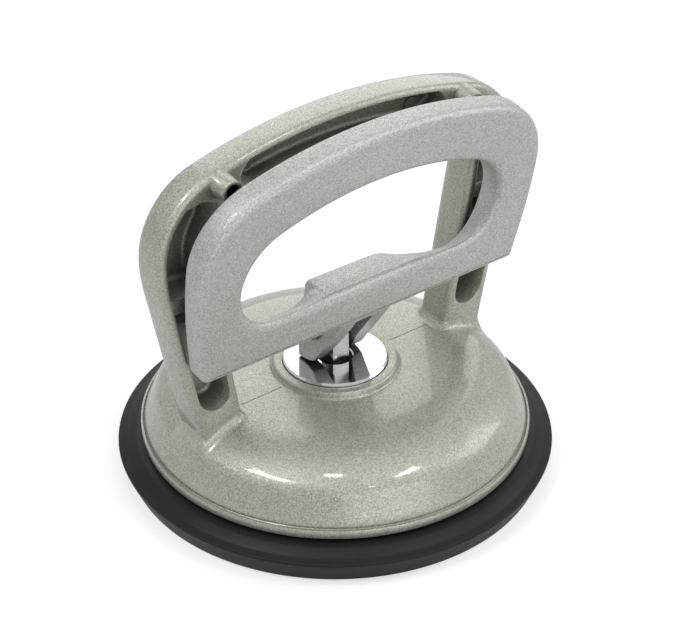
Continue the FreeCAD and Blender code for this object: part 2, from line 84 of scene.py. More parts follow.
def pick(obj, kind, test):
    only(obj)
    bpy.ops.object.mode_set(mode="EDIT")
    bpy.ops.mesh.select_mode(type=kind)
    bpy.ops.mesh.select_all(action="DESELECT")
    shape = bmesh.from_edit_mesh(obj.data)
    items = {"VERT": shape.verts, "EDGE": shape.edges, "FACE": shape.faces}[kind]
    found = [item for item in items if test(item)]
    for item in found:
        item.select_set(True)
    bmesh.update_edit_mesh(obj.data)
    return len(found)


def done():
    bpy.ops.object.mode_set(mode="OBJECT")


def tidyMesh(obj, distance=0.002):
    editAll(obj)
    bpy.ops.mesh.remove_doubles(threshold=distance * mm)
    bpy.ops.mesh.select_all(action="SELECT")
    bpy.ops.mesh.normals_make_consistent(inside=False)
    done()


def smooth(obj, angle=35):
    only(obj)
    bpy.ops.object.shade_smooth_by_angle(angle=math.radians(angle))


def plate(name, points, place):
    only(None)
    bpy.ops.mesh.primitive_circle_add(vertices=len(points), radius=1, fill_type="NGON")
    obj = bpy.context.object
    obj.name = name
    for vertex, point in zip(obj.data.vertices, points):
        vertex.co = Vector(place(*point)) * mm
    return obj


def thicken(obj, move):
    editAll(obj, "FACE")
    bpy.ops.mesh.extrude_region_move(TRANSFORM_OT_translate={"value": Vector(move) * mm})
    bpy.ops.mesh.select_all(action="SELECT")
    bpy.ops.mesh.normals_make_consistent(inside=False)
    done()


def slabXZ(name, points, front, depth, farPoints=None):
    obj = plate(name, points, lambda x, z: (x, front, z))
    thicken(obj, (0, depth, 0))
    if farPoints:
        count = len(points)
        far = [v for v in obj.data.vertices if abs(v.co.y - (front + depth) * mm) < 1e-7]
        for vertex in far:
            best = min(range(count), key=lambda i: (points[i][0] * mm - vertex.co.x) ** 2
                       + (points[i][1] * mm - vertex.co.z) ** 2)
            vertex.co.x, vertex.co.z = farPoints[best][0] * mm, farPoints[best][1] * mm
    return obj


def sharpAt(axis, value, angle=25, extra=None):
    index = "xyz".index(axis)

    def test(edge):
        if any(abs(v.co[index] - value * mm) > 2e-6 for v in edge.verts):
            return False
        if len(edge.link_faces) != 2 or edge.calc_face_angle(0) < math.radians(angle):
            return False
        return extra is None or extra(edge)
    return test


def bevel(obj, test, width, segments=3):
    found = pick(obj, "EDGE", test)
    if found:
        bpy.ops.mesh.bevel(offset=width * mm, offset_type="OFFSET", segments=segments, profile=0.5,
                           affect="EDGES", clamp_overlap=False)
    done()
    return found


def combine(obj, tool, operation="DIFFERENCE"):
    only(obj)
    modifier = obj.modifiers.new(operation.lower(), "BOOLEAN")
    modifier.operation = operation
    modifier.solver = "EXACT"
    modifier.object = tool
    bpy.ops.object.modifier_apply(modifier=modifier.name)
    bpy.data.objects.remove(tool)


def join(first, *others):
    only(first)
    for other in others:
        other.select_set(True)
    bpy.ops.object.join()
    return first


def rod(name, radius, start, end, vertices=64):
    only(None)
    a, b = Vector(start), Vector(end)
    bpy.ops.mesh.primitive_cylinder_add(vertices=vertices, radius=radius * mm,
                                        depth=(b - a).length * mm)
    obj = bpy.context.object
    obj.name = name
    turn = (b - a).to_track_quat("Z", "Y").to_matrix().to_4x4()
    obj.data.transform(Matrix.Translation((a + b) / 2 * mm) @ turn)
    return obj


def spun(name, profile, steps=160, closed=True):
    only(None)
    bpy.ops.mesh.primitive_circle_add(vertices=len(profile), radius=1, fill_type="NOTHING")
    obj = bpy.context.object
    obj.name = name
    for vertex, (r, z) in zip(obj.data.vertices, profile):
        vertex.co = (r * mm, 0, z * mm)
    if not closed:
        last = len(profile) - 1
        pick(obj, "EDGE", lambda e: {v.index for v in e.verts} == {0, last})
        bpy.ops.mesh.delete(type="EDGE")
        done()
    editAll(obj)
    bpy.ops.mesh.spin(steps=steps, angle=2 * math.pi, center=(0, 0, 0), axis=(0, 0, 1))
    done()
    tidyMesh(obj, 0.001)
    return obj


def arcPoints(centre, radius, start, end, count):
    return [(centre[0] + radius * math.cos(math.radians(start + (end - start) * i / count)),
             centre[1] + radius * math.sin(math.radians(start + (end - start) * i / count)))
            for i in range(count + 1)]


def easeStep(value, low, high):
    t = min(1.0, max(0.0, (value - low) / (high - low)))
    return t * t * (3 - 2 * t)


def inward(points, distance):
    # moves a closed outline inwards, or outwards when the distance is below zero
    area = sum(a[0] * b[1] - b[0] * a[1] for a, b in zip(points, points[1:] + points[:1]))
    side = 1 if area > 0 else -1
    moved = []
    for i, p in enumerate(points):
        a, b = Vector(points[i - 1]), Vector(points[(i + 1) % len(points)])
        along = (b - a).normalized()
        moved.append((p[0] - side * along.y * distance, p[1] + side * along.x * distance))
    return moved


# outlines: crown arc, corner arcs, side arcs and sloping legs, all in the plane of the handle

def archHalf(a, bottom, toe=0.0, grow=0.0, counts=(10, 10, 14, 12)):
    crown, corner = a["crown"] + grow, a["corner"] + grow
    side, half = a["side"] + grow, a["half"] + grow
    lean = math.atan(a["slope"])
    zCrown = a["top"] + grow - crown
    xCorner = half - corner
    zCorner = zCrown + math.sqrt((crown - corner) ** 2 - xCorner ** 2)
    turn = math.degrees(math.atan2(zCorner - zCrown, xCorner))
    xSide = half - side
    knee = (xSide + side * math.cos(lean), zCorner - side * math.sin(lean))
    points = []
    z = bottom + toe
    x = knee[0] - a["slope"] * (knee[1] - z) - toe / math.cos(lean)
    if toe > 0:
        points += arcPoints((x, z), toe, -90, -math.degrees(lean), 8)
    else:
        points.append((x, z))
    foot = points[-1]
    points += [(foot[0] + (knee[0] - foot[0]) * i / counts[0],
                foot[1] + (knee[1] - foot[1]) * i / counts[0])
               for i in range(1, counts[0] + 1)]
    points += arcPoints((xSide, zCorner), side, -math.degrees(lean), 0, counts[1])[1:]
    points += arcPoints((xCorner, zCorner), corner, 0, turn, counts[2])[1:]
    points += arcPoints((0, zCrown), crown, turn, 90, counts[3])[1:]
    return points


def closedArch(a, bottom, toe=0.0, grow=0.0):
    half = archHalf(a, bottom, toe, grow)
    return half + [(-x, z) for x, z in reversed(half[:-1])]


def legX(a, z, grow=0.0):
    side, half, corner = a["side"] + grow, a["half"] + grow, a["corner"] + grow
    lean = math.atan(a["slope"])
    zCrown = a["top"] - a["crown"]
    zCorner = zCrown + math.sqrt((a["crown"] - a["corner"]) ** 2 - (half - corner) ** 2)
    return half - side + side * math.cos(lean) - a["slope"] * (zCorner - side * math.sin(lean) - z)


# cast body: arch handle on a spun dome

arch = {"top": 107.6, "crown": 150.0, "corner": 22.0, "half": 57.5, "side": 50.0, "slope": 0.203}
grip = {"top": 95.0, "crown": 131.0, "corner": 12.0, "half": 42.2, "side": 30.0, "slope": 0.172}
body = {"front": -5.2, "back": 7.0, "foot": 21.9, "frontRound": 1.8, "backRound": 4.0,
        "shallow": 0.2, "shallowFrom": 70, "shallowTo": 95,
        "skin": 2.45, "crownSkin": 1.5, "pocket": 8.2, "draft": 0.45, "mouthOver": 0.05,
        "floorRound": 1.3, "mouthRound": 0.3, "low": 38.4, "web": 67.0, "knee": 71.4,
        "capOutX": 48.6, "capInX": 40.9, "capBulge": (3.8, 3.4),
        "crownTurn": 11.5, "crownBulge": (4.3, 0.9), "webCornerX": 54.2, "webReach": (0.9, 0.35),
        "stop": (38.3, 99.0, 2.9, 1.9), "stopFront": -10.2, "stopRound": 0.5, "stopFlare": 0.2,
        "marks": ((51.0, 84.0), (47.5, 62.5), (39.6, 43.5), (26.5, 97.4)), "markRadius": 2.1,
        "footFillet": 2.2}


def pocketOutlines():
    outer = archHalf(arch, body["foot"], 0, -body["skin"])
    inner = archHalf(grip, body["foot"], 0, body["skin"])
    outerX = lambda z: legX(arch, z, -body["skin"])
    innerX = lambda z: legX(grip, z, body["skin"])
    low, web = body["low"], body["web"]
    a, b = outerX(low), innerX(low)
    middle, halfWidth = (a + b) / 2, (a - b) / 2
    lower = [(middle - 0.8 * math.sin(math.radians(t)) + halfWidth * math.cos(math.radians(t)),
              low - halfWidth * math.sin(math.radians(t))) for t in range(0, 181, 15)]
    lower += [(innerX(z), z) for z in (low + 7, low + 14, low + 21)] + [(innerX(web), web)]
    lower += [(outerX(z), z) for z in (web, low + 21, low + 14, low + 7)]
    knee = body["knee"]
    outSide = [p for p in outer if p[1] > knee + 0.6 and p[0] > body["capOutX"]]
    inSide = [p for p in inner if p[1] > knee + 0.6 and p[0] > body["capInX"]]
    p, q = outSide[-1], inSide[-1]
    capCount = 8
    cap = []
    for i in range(1, capCount):
        t = i / capCount
        x, z = p[0] + (q[0] - p[0]) * t, p[1] + (q[1] - p[1]) * t
        bulge = 4 * t * (1 - t)
        cap.append((x - body["capBulge"][0] * bulge, z + body["capBulge"][1] * bulge))
    upper = [(outerX(knee), knee)] + outSide + cap + list(reversed(inSide))
    upper += [(innerX(knee), knee)]
    half = body["crownTurn"]
    over = arcPoints((0, arch["top"] - arch["crown"]), arch["crown"] - body["crownSkin"],
                     90 - half, 90 + half, 16)
    under = arcPoints((0, grip["top"] - grip["crown"]), grip["crown"] + body["skin"],
                      90 + half, 90 - half, 16)
    endL, endR = [], []
    for i in range(1, capCount):
        t = i / capCount
        bulge = 4 * t * (1 - t)
        endL.append((over[-1][0] + (under[0][0] - over[-1][0]) * t - body["crownBulge"][0] * bulge,
                     over[-1][1] + (under[0][1] - over[-1][1]) * t - body["crownBulge"][1] * bulge))
        endR.append((-endL[-1][0], endL[-1][1]))
    crown = over + endL + under + list(reversed(endR))
    flip = lambda points: [(-x, z) for x, z in reversed(points)]
    return [lower, flip(lower), upper, flip(upper), crown]


def makeHandle():
    outer = archHalf(arch, body["foot"])
    inner = archHalf(grip, body["foot"])
    outline = outer + [(-x, z) for x, z in reversed(outer[:-1])]
    outline += [(-x, z) for x, z in inner] + [(x, z) for x, z in reversed(inner[:-1])]
    handle = slabXZ("handle", outline, body["front"], body["back"] - body["front"])
    clear = lambda e: min(v.co.z for v in e.verts) > (body["foot"] + 0.01) * mm or \
        abs(e.verts[0].co.z - e.verts[1].co.z) > 1e-6
    bevel(handle, sharpAt("y", body["back"], 25, clear), body["backRound"], 8)
    bevel(handle, sharpAt("y", body["front"], 25, clear), body["frontRound"], 4)
    tidyMesh(handle, 0.004)
    ahead = 0.6
    for outlinePoints in pocketOutlines():
        floor = inward(outlinePoints, body["draft"] + body["mouthOver"])
        mouth = inward(outlinePoints, -body["mouthOver"])
        depth = body["pocket"] + ahead
        tool = slabXZ("pocketTool", mouth, body["front"] - ahead, depth, floor)
        bevel(tool, sharpAt("y", body["front"] - ahead + depth, 25), body["floorRound"], 4)
        combine(handle, tool)
    webX, webZ = body["webReach"]
    webCorner = lambda v: abs(abs(v.co.x) - body["webCornerX"] * mm) < webX * mm and \
        abs(v.co.z - body["knee"] * mm) < webZ * mm
    clearOfWeb = lambda e: not any(webCorner(v) for v in e.verts)
    bevel(handle, sharpAt("y", body["front"], 40, clearOfWeb), body["mouthRound"], 2)
    floorY = body["front"] + body["pocket"]
    for x, z in body["marks"]:
        for sign in (1, -1):
            mark = rod("mark", body["markRadius"], (sign * x, floorY + 0.5, z),
                       (sign * x, floorY - 0.35, z), 32)
            combine(handle, mark, "UNION")
    print("handle pockets cut")
    x, z, r, bore = body["stop"]
    for sign in (1, -1):
        stop = rod("stop", r, (sign * x, body["front"] + 1.0, z),
                   (sign * x, body["stopFront"], z), 48)
        for vertex in stop.data.vertices:
            along = easeStep(vertex.co.y / mm, body["stopFront"], body["front"] + 1)
            wide = 1 + body["stopFlare"] * along
            vertex.co.x = (sign * x + (vertex.co.x / mm - sign * x) * wide) * mm
            vertex.co.z = (z + (vertex.co.z / mm - z) * wide) * mm
        bevel(stop, sharpAt("y", body["stopFront"], 40), body["stopRound"], 3)
        combine(handle, stop, "UNION")
        hole = rod("hole", bore, (sign * x, 1.0, z),
                   (sign * x, body["stopFront"] - 1, z), 40)
        combine(handle, hole)
    bevel(handle, sharpAt("y", body["stopFront"], 40), 0.3, 2)
    for vertex in handle.data.vertices:
        if vertex.co.y > 0:
            high = easeStep(vertex.co.z / mm, body["shallowFrom"], body["shallowTo"])
            vertex.co.y *= 1 - body["shallow"] * high
    return handle


dome = {"rim": 53.5, "flat": 31.0, "top": 28.05, "big": 28.6, "bigTurn": 33.5, "small": 7.74,
        "steep": 66.0, "wallFoot": 14.2, "seat": 9.5, "collar": 17.15, "collarTop": 29.85,
        "recess": 14.40, "discFloor": 28.9, "counter": 7.05, "counterFloor": 27.7, "bore": 4.73,
        "bushFoot": 21.5, "ceiling": 24.1, "grooveRadius": 0.2, "grooveEnd": 33.0}


def domeJoints():
    turn, steep = math.radians(dome["bigTurn"]), math.radians(dome["steep"])
    joint = (dome["flat"] + dome["big"] * math.sin(turn),
             dome["top"] - dome["big"] * (1 - math.cos(turn)))
    centre = (joint[0] - dome["small"] * math.sin(turn),
              joint[1] - dome["small"] * math.cos(turn))
    wall = (centre[0] + dome["small"] * math.sin(steep),
            centre[1] + dome["small"] * math.cos(steep))
    return joint, centre, wall


def domeHeight(r):
    joint, centre, wall = domeJoints()
    if r < dome["flat"]:
        return dome["top"]
    if r < joint[0]:
        return dome["top"] - dome["big"] + math.sqrt(dome["big"] ** 2 - (r - dome["flat"]) ** 2)
    if r < wall[0]:
        return centre[1] + math.sqrt(dome["small"] ** 2 - (r - centre[0]) ** 2)
    return wall[1] - (r - wall[0]) * math.tan(math.radians(dome["steep"]))


def makeDome():
    joint, centre, wall = domeJoints()
    steep = math.radians(dome["steep"])
    foot = (wall[0] + (wall[1] - dome["wallFoot"]) / math.tan(steep), dome["wallFoot"])
    rim, seat = dome["rim"], dome["seat"]
    c, top = dome["collar"], dome["collarTop"]
    recess, counterFloor = dome["recess"], dome["counterFloor"]
    profile = [(dome["bore"], dome["bushFoot"]), (dome["bore"], counterFloor),
               (dome["counter"], counterFloor), (dome["counter"], dome["discFloor"]),
               (recess, dome["discFloor"]), (recess, top - 0.25), (recess + 0.07, top - 0.07),
               (recess + 0.25, top)]
    profile += arcPoints((c - 0.8, top - 0.8), 0.8, 90, 10, 6)
    profile += [(c + 0.12, top - 1.1)]
    profile += arcPoints((c + 1.05, dome["top"] + 0.8), 0.8, 190, 270, 5)
    profile += [(c + 1.8, dome["top"]), (24, dome["top"])]
    profile += arcPoints((dome["flat"], dome["top"] - dome["big"]), dome["big"],
                         90, 90 - dome["bigTurn"], 14)
    profile += arcPoints(centre, dome["small"], 90 - dome["bigTurn"], 90 - dome["steep"], 8)[1:]
    profile += [(wall[0] + (foot[0] - wall[0]) * t, wall[1] + (foot[1] - wall[1]) * t)
                for t in (0.35, 0.7)]
    profile += [foot, (foot[0] + 0.2, 13.4), (foot[0] + 0.3, 12.75), (foot[0] + 0.55, 12.55),
                (foot[0] + 0.8, 12.75), (foot[0] + 0.95, 12.95), (foot[0] + 1.25, 13.0),
                (rim - 0.55, 12.9), (rim - 0.2, 12.72), (rim, 12.3), (rim, seat + 1.4),
                (rim - 0.2, seat + 0.7), (rim - 1.2, seat)]
    land = rim - 5.3
    profile += [(land, seat), (land, dome["wallFoot"]), (joint[0] - 4, 20.0),
                (dome["flat"] + 2, 21.8), (dome["flat"] - 1, dome["ceiling"]),
                (10, dome["ceiling"]), (10, dome["bushFoot"])]
    return spun("housing", profile, 176)


def legSection(z, side, count=9):
    outer, inner = legX(arch, z), legX(grip, z)
    front, back = body["front"], body["back"]
    near, far = body["frontRound"], body["backRound"]
    points = []
    corners = [((outer - near, front + near), near, -90, 0),
               ((outer - far, back - far), far, 0, 90),
               ((inner + far, back - far), far, 90, 180),
               ((inner + near, front + near), near, 180, 270)]
    for centre, radius, start, end in corners:
        for x, y in arcPoints(centre, radius, start, end, count - 1):
            angle = math.atan2(y - centre[1], x - centre[0])
            points.append((side * x, y, side * math.cos(angle), math.sin(angle)))
    full, spacing = [], 1.2
    for i, p in enumerate(points):
        q = points[(i + 1) % len(points)]
        full.append(p)
        gap = math.hypot(q[0] - p[0], q[1] - p[1])
        extra = int(gap / spacing)
        for k in range(1, extra):
            t = k / extra
            full.append(tuple(p[n] + (q[n] - p[n]) * t for n in range(4)))
    return full


def makeFootFillet(side):
    rf = body["footFillet"]
    base = legSection(28.0, side)
    rows = []
    steps = 9
    for k in range(steps + 1):
        angle = math.radians(90 * k / steps)
        row = []
        for i, (x0, y0, nx, ny) in enumerate(base):
            outward = max(0.0, side * nx) ** 2
            spread = rf * (1 + 1.3 * outward) * (1 - math.sin(angle))
            x, y = x0 + nx * spread, y0 + ny * spread
            for turn in range(4):
                rise = rf * (1.1 + 1.6 * outward) * (1 - math.cos(angle))
                z = domeHeight(math.hypot(x, y)) + rise
                section = legSection(z, side)[i]
                x, y = section[0] + nx * spread, section[1] + ny * spread
            row.append((x, y, z - (0.05 if k == 0 else 0.0)))
        rows.append(row)
    inset, below = 0.6, 0.8
    ends = list(zip(rows[-1], base))
    top = [(x - nx * inset, y - ny * inset, z) for (x, y, z), (a, b, nx, ny) in ends]
    low = [(x - nx * inset, y - ny * inset, domeHeight(math.hypot(x, y)) - below)
           for (x, y, z), (a, b, nx, ny) in ends]
    skirt = [(x, y, z - below) for x, y, z in rows[0]]
    rows = [low, skirt] + rows + [top]
    count = len(base)
    only(None)
    bpy.ops.mesh.primitive_cylinder_add(vertices=count, radius=1, depth=1, end_fill_type="NOTHING")
    obj = bpy.context.object
    obj.name = "footFillet"
    for ring in range(len(rows) - 2):
        pick(obj, "EDGE", lambda e: all(abs(v.co.z - (0.5 + ring)) < 1e-4 for v in e.verts))
        bpy.ops.mesh.extrude_region_move(TRANSFORM_OT_translate={"value": (0, 0, 1)})
        done()
    for vertex in obj.data.vertices:
        ring = round(vertex.co.z + 0.5)
        index = round(math.atan2(vertex.co.x, vertex.co.y) / (2 * math.pi) * count) % count
        vertex.co = Vector(rows[ring][index]) * mm
    pick(obj, "EDGE", lambda e: len(e.link_faces) == 1)
    bpy.ops.mesh.bridge_edge_loops()
    done()
    tidyMesh(obj, 0.0005)
    return obj


def makeGrooveTool(side):
    only(None)
    bpy.ops.mesh.primitive_cylinder_add(vertices=6, radius=dome["grooveRadius"] * mm, depth=1.0)
    line = bpy.context.object
    start, end = side * (dome["collar"] + 1.3), side * dome["grooveEnd"]
    for vertex in line.data.vertices:
        x, y, z = vertex.co
        vertex.co = ((start + (end - start) * (z + 0.5)) * mm, y * 0.8 - 0.5 * mm,
                     dome["top"] * mm + x)
    tidyMesh(line, 0.0001)
    return line


housing = makeDome()
print("dome spun")
handle = makeHandle()
print("handle made")
for side in (1, -1):
    combine(housing, makeGrooveTool(side))
combine(housing, handle, "UNION")
join(housing, makeFootFillet(1), makeFootFillet(-1))
smooth(housing, 38)
print("housing", len(housing.data.polygons))


# cam lever, drawn upright about its pivot, then leaned forward

lever = {"top": 67.1, "crown": 127.0, "corner": 22.0, "half": 54.2, "side": 150.0, "slope": 0.155,
         "bottom": 7.1, "toe": 1.8, "front": -12.57, "thick": 7.27, "frontRound": 2.3,
         "backRound": 0.9}
window = {"top": 52.4, "crown": 88.0, "corner": 16.0, "half": 41.0, "side": 12.0, "slope": 0.25,
          "bottom": 19.4, "toe": 11.0, "drop": 4.3,
          "sillX": (-28, -24, -22, -20, -18.5, -17, -16, -15, -14.2, -13.4, -6, 2, 8, 10, 12, 14,
                    16, 18, 20, 22, 24)}
hub = {"half": 13.7, "top": 19.46, "back": -2.0, "ramp": 22.0}
ear = {"outer": 8.3, "inner": 2.8, "flare": 5.0, "boss": 6.0, "disc": 30.7, "gap": 0.4,
       "lift": 4.5, "slotTop": 7.1, "pin": 3.02}
pivot = {"height": 44.0, "lean": 9.15}


def camCurve():
    lean = math.radians(pivot["lean"])
    points = []
    for i in range(15):
        phi = math.radians(-5 + 35 * i / 14)
        reach = pivot["height"] - ear["disc"] - ear["gap"] - ear["lift"] * phi
        y = -reach * math.sin(phi) + ear["lift"] * math.cos(phi)
        z = -reach * math.cos(phi) - ear["lift"] * math.sin(phi)
        points.append((y * math.cos(lean) + z * math.sin(lean),
                       -y * math.sin(lean) + z * math.cos(lean)))
    return points


def makeLever():
    outline = closedArch(lever, lever["bottom"], lever["toe"])
    ring = slabXZ("lever", outline, lever["front"], lever["thick"])
    outline = closedArch(window, window["bottom"], window["toe"])
    outline += [(x, window["bottom"]) for x in window["sillX"]]
    combine(ring, slabXZ("windowTool", outline, lever["front"] - 1, lever["thick"] + 2))
    tidyMesh(ring, 0.01)
    bevel(ring, sharpAt("y", lever["front"], 30), lever["frontRound"], 6)
    bevel(ring, sharpAt("y", lever["front"] + lever["thick"], 25), lever["backRound"], 4)
    for vertex in ring.data.vertices:
        x, y, z = vertex.co / mm
        if abs(x) < 43 and 12 < z < 31:
            depth = easeStep((y - lever["front"]) / lever["thick"], 0.1, 1.1)
            low = min(1.0, max(0.0, 1 - (z - window["bottom"]) / window["toe"]))
            aside = 1 - 0.85 * easeStep(x, -20.5, -13.4) if x < 0 else easeStep(x, 9, 29)
            vertex.co.z -= window["drop"] * 1.15 * depth * low * aside * mm
    print("lever ring made")
    h, top = hub["half"], hub["top"]
    near = [(-h, 8.0), (-h, top - 0.95), (-h + 0.45, top - 0.25), (-h + 1.3, top), (h - 2, top),
            (h + 2, top - 0.05), (h + 5.4, top - 0.25), (hub["ramp"], 17.5), (hub["ramp"], 8.0)]
    far = [(-h, 7.2), (-h, top - 1.7), (-h + 0.4, top - 1.0), (-h + 1.3, top - 0.6),
           (6.5, top - 0.8),
           (8.8, top - 0.95), (10.2, top - 1.4), (11.2, 16.5), (11.8, 7.2)]
    block = slabXZ("hub", near, lever["front"] + 2.2, hub["back"] - lever["front"] - 2.2, far)
    bevel(block, sharpAt("y", hub["back"], 25), 0.8, 3)
    combine(ring, block, "UNION")
    cam = camCurve()
    kneeY = lever["front"] + 0.5
    lift = math.radians(35)
    profile = list(cam) + [(kneeY, lever["bottom"] + 0.37), (kneeY, lever["bottom"] + 4),
                           (hub["back"] - 0.63, lever["bottom"] + 8.3),
                           (ear["boss"] * math.cos(lift), ear["boss"] * math.sin(lift))]
    profile += [(ear["boss"] * math.cos(lift * t), ear["boss"] * math.sin(lift * t))
                for t in (0.66, 0.33, 0)]
    ears = plate("ears", profile, lambda y, z: (-ear["outer"], y, z))
    thicken(ears, (2 * ear["outer"], 0, 0))
    bevel(ears, sharpAt("x", ear["outer"], 25), 0.5, 3)
    bevel(ears, sharpAt("x", -ear["outer"], 25), 0.5, 3)
    combine(ring, ears, "UNION")
    i, w, slotTop = ear["inner"], ear["flare"], ear["slotTop"]
    slotPoints = [(-i, slotTop - 0.5), (-i + 0.5, slotTop), (i - 0.5, slotTop),
                  (i, slotTop - 0.5), (i, -3.5), (w, -14), (-w, -14), (-i, -3.5)]
    combine(ring, slabXZ("slotTool", slotPoints, -25, 50))
    combine(ring, rod("pinTool", ear["pin"], (-20, 0, 0), (20, 0, 0), 56))
    lean = Matrix.Rotation(math.radians(pivot["lean"]), 4, "X")
    ring.data.transform(Matrix.Translation((0, 0, pivot["height"] * mm)) @ lean)
    tidyMesh(ring, 0.003)
    smooth(ring, 36)
    return ring


leverObj = makeLever()
print("lever", len(leverObj.data.polygons))


# rubber cup: lip ring on the body; the diaphragm, which the rod draws up and down, is built as one
# fixed shape

cup = {"radius": 60.0, "foot": 57.3, "edge": 6.9, "seat": 9.5, "join": 46.0, "joinTop": 9.85,
       "lip": 50.5, "flat": 24.0, "hollow": 5.5, "hollowDrop": 4.3, "top": 10.2}


def makeCup():
    r, e = cup["radius"], cup["edge"]
    seat, join = cup["seat"], cup["join"]
    profile = [(join, 1.2), (cup["lip"] - 0.6, 0.12), (cup["lip"], 0.0), (cup["foot"] - 0.5, 0.0),
               (cup["foot"] + 0.2, 0.35), (r - 0.25, e - 1.3), (r, e - 0.55), (r - 0.12, e - 0.1),
               (r - 0.5, e + 0.1), (r - 1.9, e + 0.35), (r - 2.3, e + 0.62), (r - 4.5, 8.75),
               (r - 5.0, 8.95), (r - 5.6, 9.0), (52.8, 9.42), (52.2, seat), (48.0, seat),
               (join, cup["joinTop"])]
    ring = spun("cupLip", profile, 192)
    smooth(ring, 30)
    flat, hollow = cup["flat"], cup["hollow"]
    inner = [(0.4, hollow), (flat - 1.5, hollow), (flat + 1.0, 5.25)]
    inner += [(flat + (join - flat) * t, hollow - cup["hollowDrop"] * t)
              for t in (0.25, 0.5, 0.75, 1.0)]
    inner += [(join, cup["joinTop"]), (44.0, cup["top"]), (30, cup["top"]), (0.4, cup["top"])]
    disc = spun("cupDiaphragm", inner, 128, False)
    editAll(disc)
    bpy.ops.mesh.fill_holes(sides=0)
    done()
    tidyMesh(disc, 0.0005)
    smooth(disc, 30)
    return ring, disc


cupLip, cupDiaphragm = makeCup()
print("cup", len(cupLip.data.polygons), len(cupDiaphragm.data.polygons))


def makeSpring():
    # the coil sits between the plate on the rod and the seat in the body
    only(nodes["return_spring"])
    bpy.ops.object.duplicate()
    coil = bpy.context.object
    coil.name = "springCoil"
    for key in list(coil.keys()):
        del coil[key]
    bpy.ops.object.parent_clear(type="CLEAR_KEEP_TRANSFORM")
    bpy.ops.object.transform_apply(location=True, rotation=True, scale=True)
    coil.data.materials.clear()
    tidyMesh(coil, 0.0005)
    smooth(coil, 40)
    return coil


springCoil = makeSpring()
print("spring", len(springCoil.data.polygons))


# shader helpers and shared effect groups

def put(tree, kind, **values):
    node = tree.nodes.new(kind)
    for key, value in values.items():
        if hasattr(node, key):
            setattr(node, key, value)
        else:
            node.inputs[key.replace("_", " ")].default_value = value
    return node


def wire(tree, source, target):
    tree.links.new(source, target)


def newGroup(name, inputs, outputs):
    group = bpy.data.node_groups.new(name, "ShaderNodeTree")
    for label, kind, value in inputs:
        socket = group.interface.new_socket(label, in_out="INPUT", socket_type=kind)
        socket.default_value = value
    for label, kind in outputs:
        group.interface.new_socket(label, in_out="OUTPUT", socket_type=kind)
    return group, group.nodes.new("NodeGroupInput"), group.nodes.new("NodeGroupOutput")


def useGroup(tree, group, **values):
    node = tree.nodes.new("ShaderNodeGroup")
    node.node_tree = group
    for key, value in values.items():
        node.inputs[key].default_value = value
    return node


def makeFlakes():
    inputs = [("Scale", "NodeSocketFloat", 2600.0), ("Tilt", "NodeSocketFloat", 0.12)]
    outputs = [("Tint", "NodeSocketFloat"), ("Normal", "NodeSocketVector")]
    g, start, end = newGroup("flakes", inputs, outputs)
    place = put(g, "ShaderNodeTexCoord")
    cells = put(g, "ShaderNodeTexVoronoi", feature="F1")
    shade = put(g, "ShaderNodeSeparateColor")
    shift = put(g, "ShaderNodeVectorMath", operation="SUBTRACT")
    shift.inputs[1].default_value = (0.5, 0.5, 0.5)
    scale = put(g, "ShaderNodeVectorMath", operation="SCALE")
    peel = put(g, "ShaderNodeTexNoise", Scale=520.0, Detail=3.0)
    bump = put(g, "ShaderNodeBump", Strength=0.10, Distance=0.0004)
    add = put(g, "ShaderNodeVectorMath", operation="ADD")
    unit = put(g, "ShaderNodeVectorMath", operation="NORMALIZE")
    wire(g, place.outputs["Object"], cells.inputs["Vector"])
    wire(g, place.outputs["Object"], peel.inputs["Vector"])
    wire(g, start.outputs["Scale"], cells.inputs["Scale"])
    wire(g, cells.outputs["Color"], shade.inputs["Color"])
    wire(g, shade.outputs["Red"], end.inputs["Tint"])
    wire(g, cells.outputs["Color"], shift.inputs[0])
    wire(g, shift.outputs["Vector"], scale.inputs[0])
    wire(g, start.outputs["Tilt"], scale.inputs["Scale"])
    wire(g, peel.outputs["Fac"], bump.inputs["Height"])
    wire(g, scale.outputs["Vector"], add.inputs[0])
    wire(g, bump.outputs["Normal"], add.inputs[1])
    wire(g, add.outputs["Vector"], unit.inputs[0])
    wire(g, unit.outputs["Vector"], end.inputs["Normal"])
    return g


def makePatches():
    inputs = [("Scale", "NodeSocketFloat", 60.0), ("Low", "NodeSocketFloat", 0.55),
              ("High", "NodeSocketFloat", 0.7)]
    g, start, end = newGroup("patches", inputs, [("Mask", "NodeSocketFloat")])
    place = put(g, "ShaderNodeTexCoord")
    noise = put(g, "ShaderNodeTexNoise", Detail=7.0, Roughness=0.62)
    span = put(g, "ShaderNodeMapRange")
    wire(g, place.outputs["Object"], noise.inputs["Vector"])
    wire(g, start.outputs["Scale"], noise.inputs["Scale"])
    wire(g, noise.outputs["Fac"], span.inputs["Value"])
    wire(g, start.outputs["Low"], span.inputs["From Min"])
    wire(g, start.outputs["High"], span.inputs["From Max"])
    wire(g, span.outputs["Result"], end.inputs["Mask"])
    return g


def makeHollowShade():
    inputs = [("Distance", "NodeSocketFloat", 0.008), ("Low", "NodeSocketFloat", 0.2),
              ("High", "NodeSocketFloat", 0.75)]
    g, start, end = newGroup("hollowShade", inputs, [("Mask", "NodeSocketFloat")])
    shade = put(g, "ShaderNodeAmbientOcclusion", samples=8)
    span = put(g, "ShaderNodeMapRange")
    span.inputs["To Min"].default_value = 1.0
    span.inputs["To Max"].default_value = 0.0
    wire(g, start.outputs["Distance"], shade.inputs["Distance"])
    wire(g, shade.outputs["AO"], span.inputs["Value"])
    wire(g, start.outputs["Low"], span.inputs["From Min"])
    wire(g, start.outputs["High"], span.inputs["From Max"])
    wire(g, span.outputs["Result"], end.inputs["Mask"])
    return g


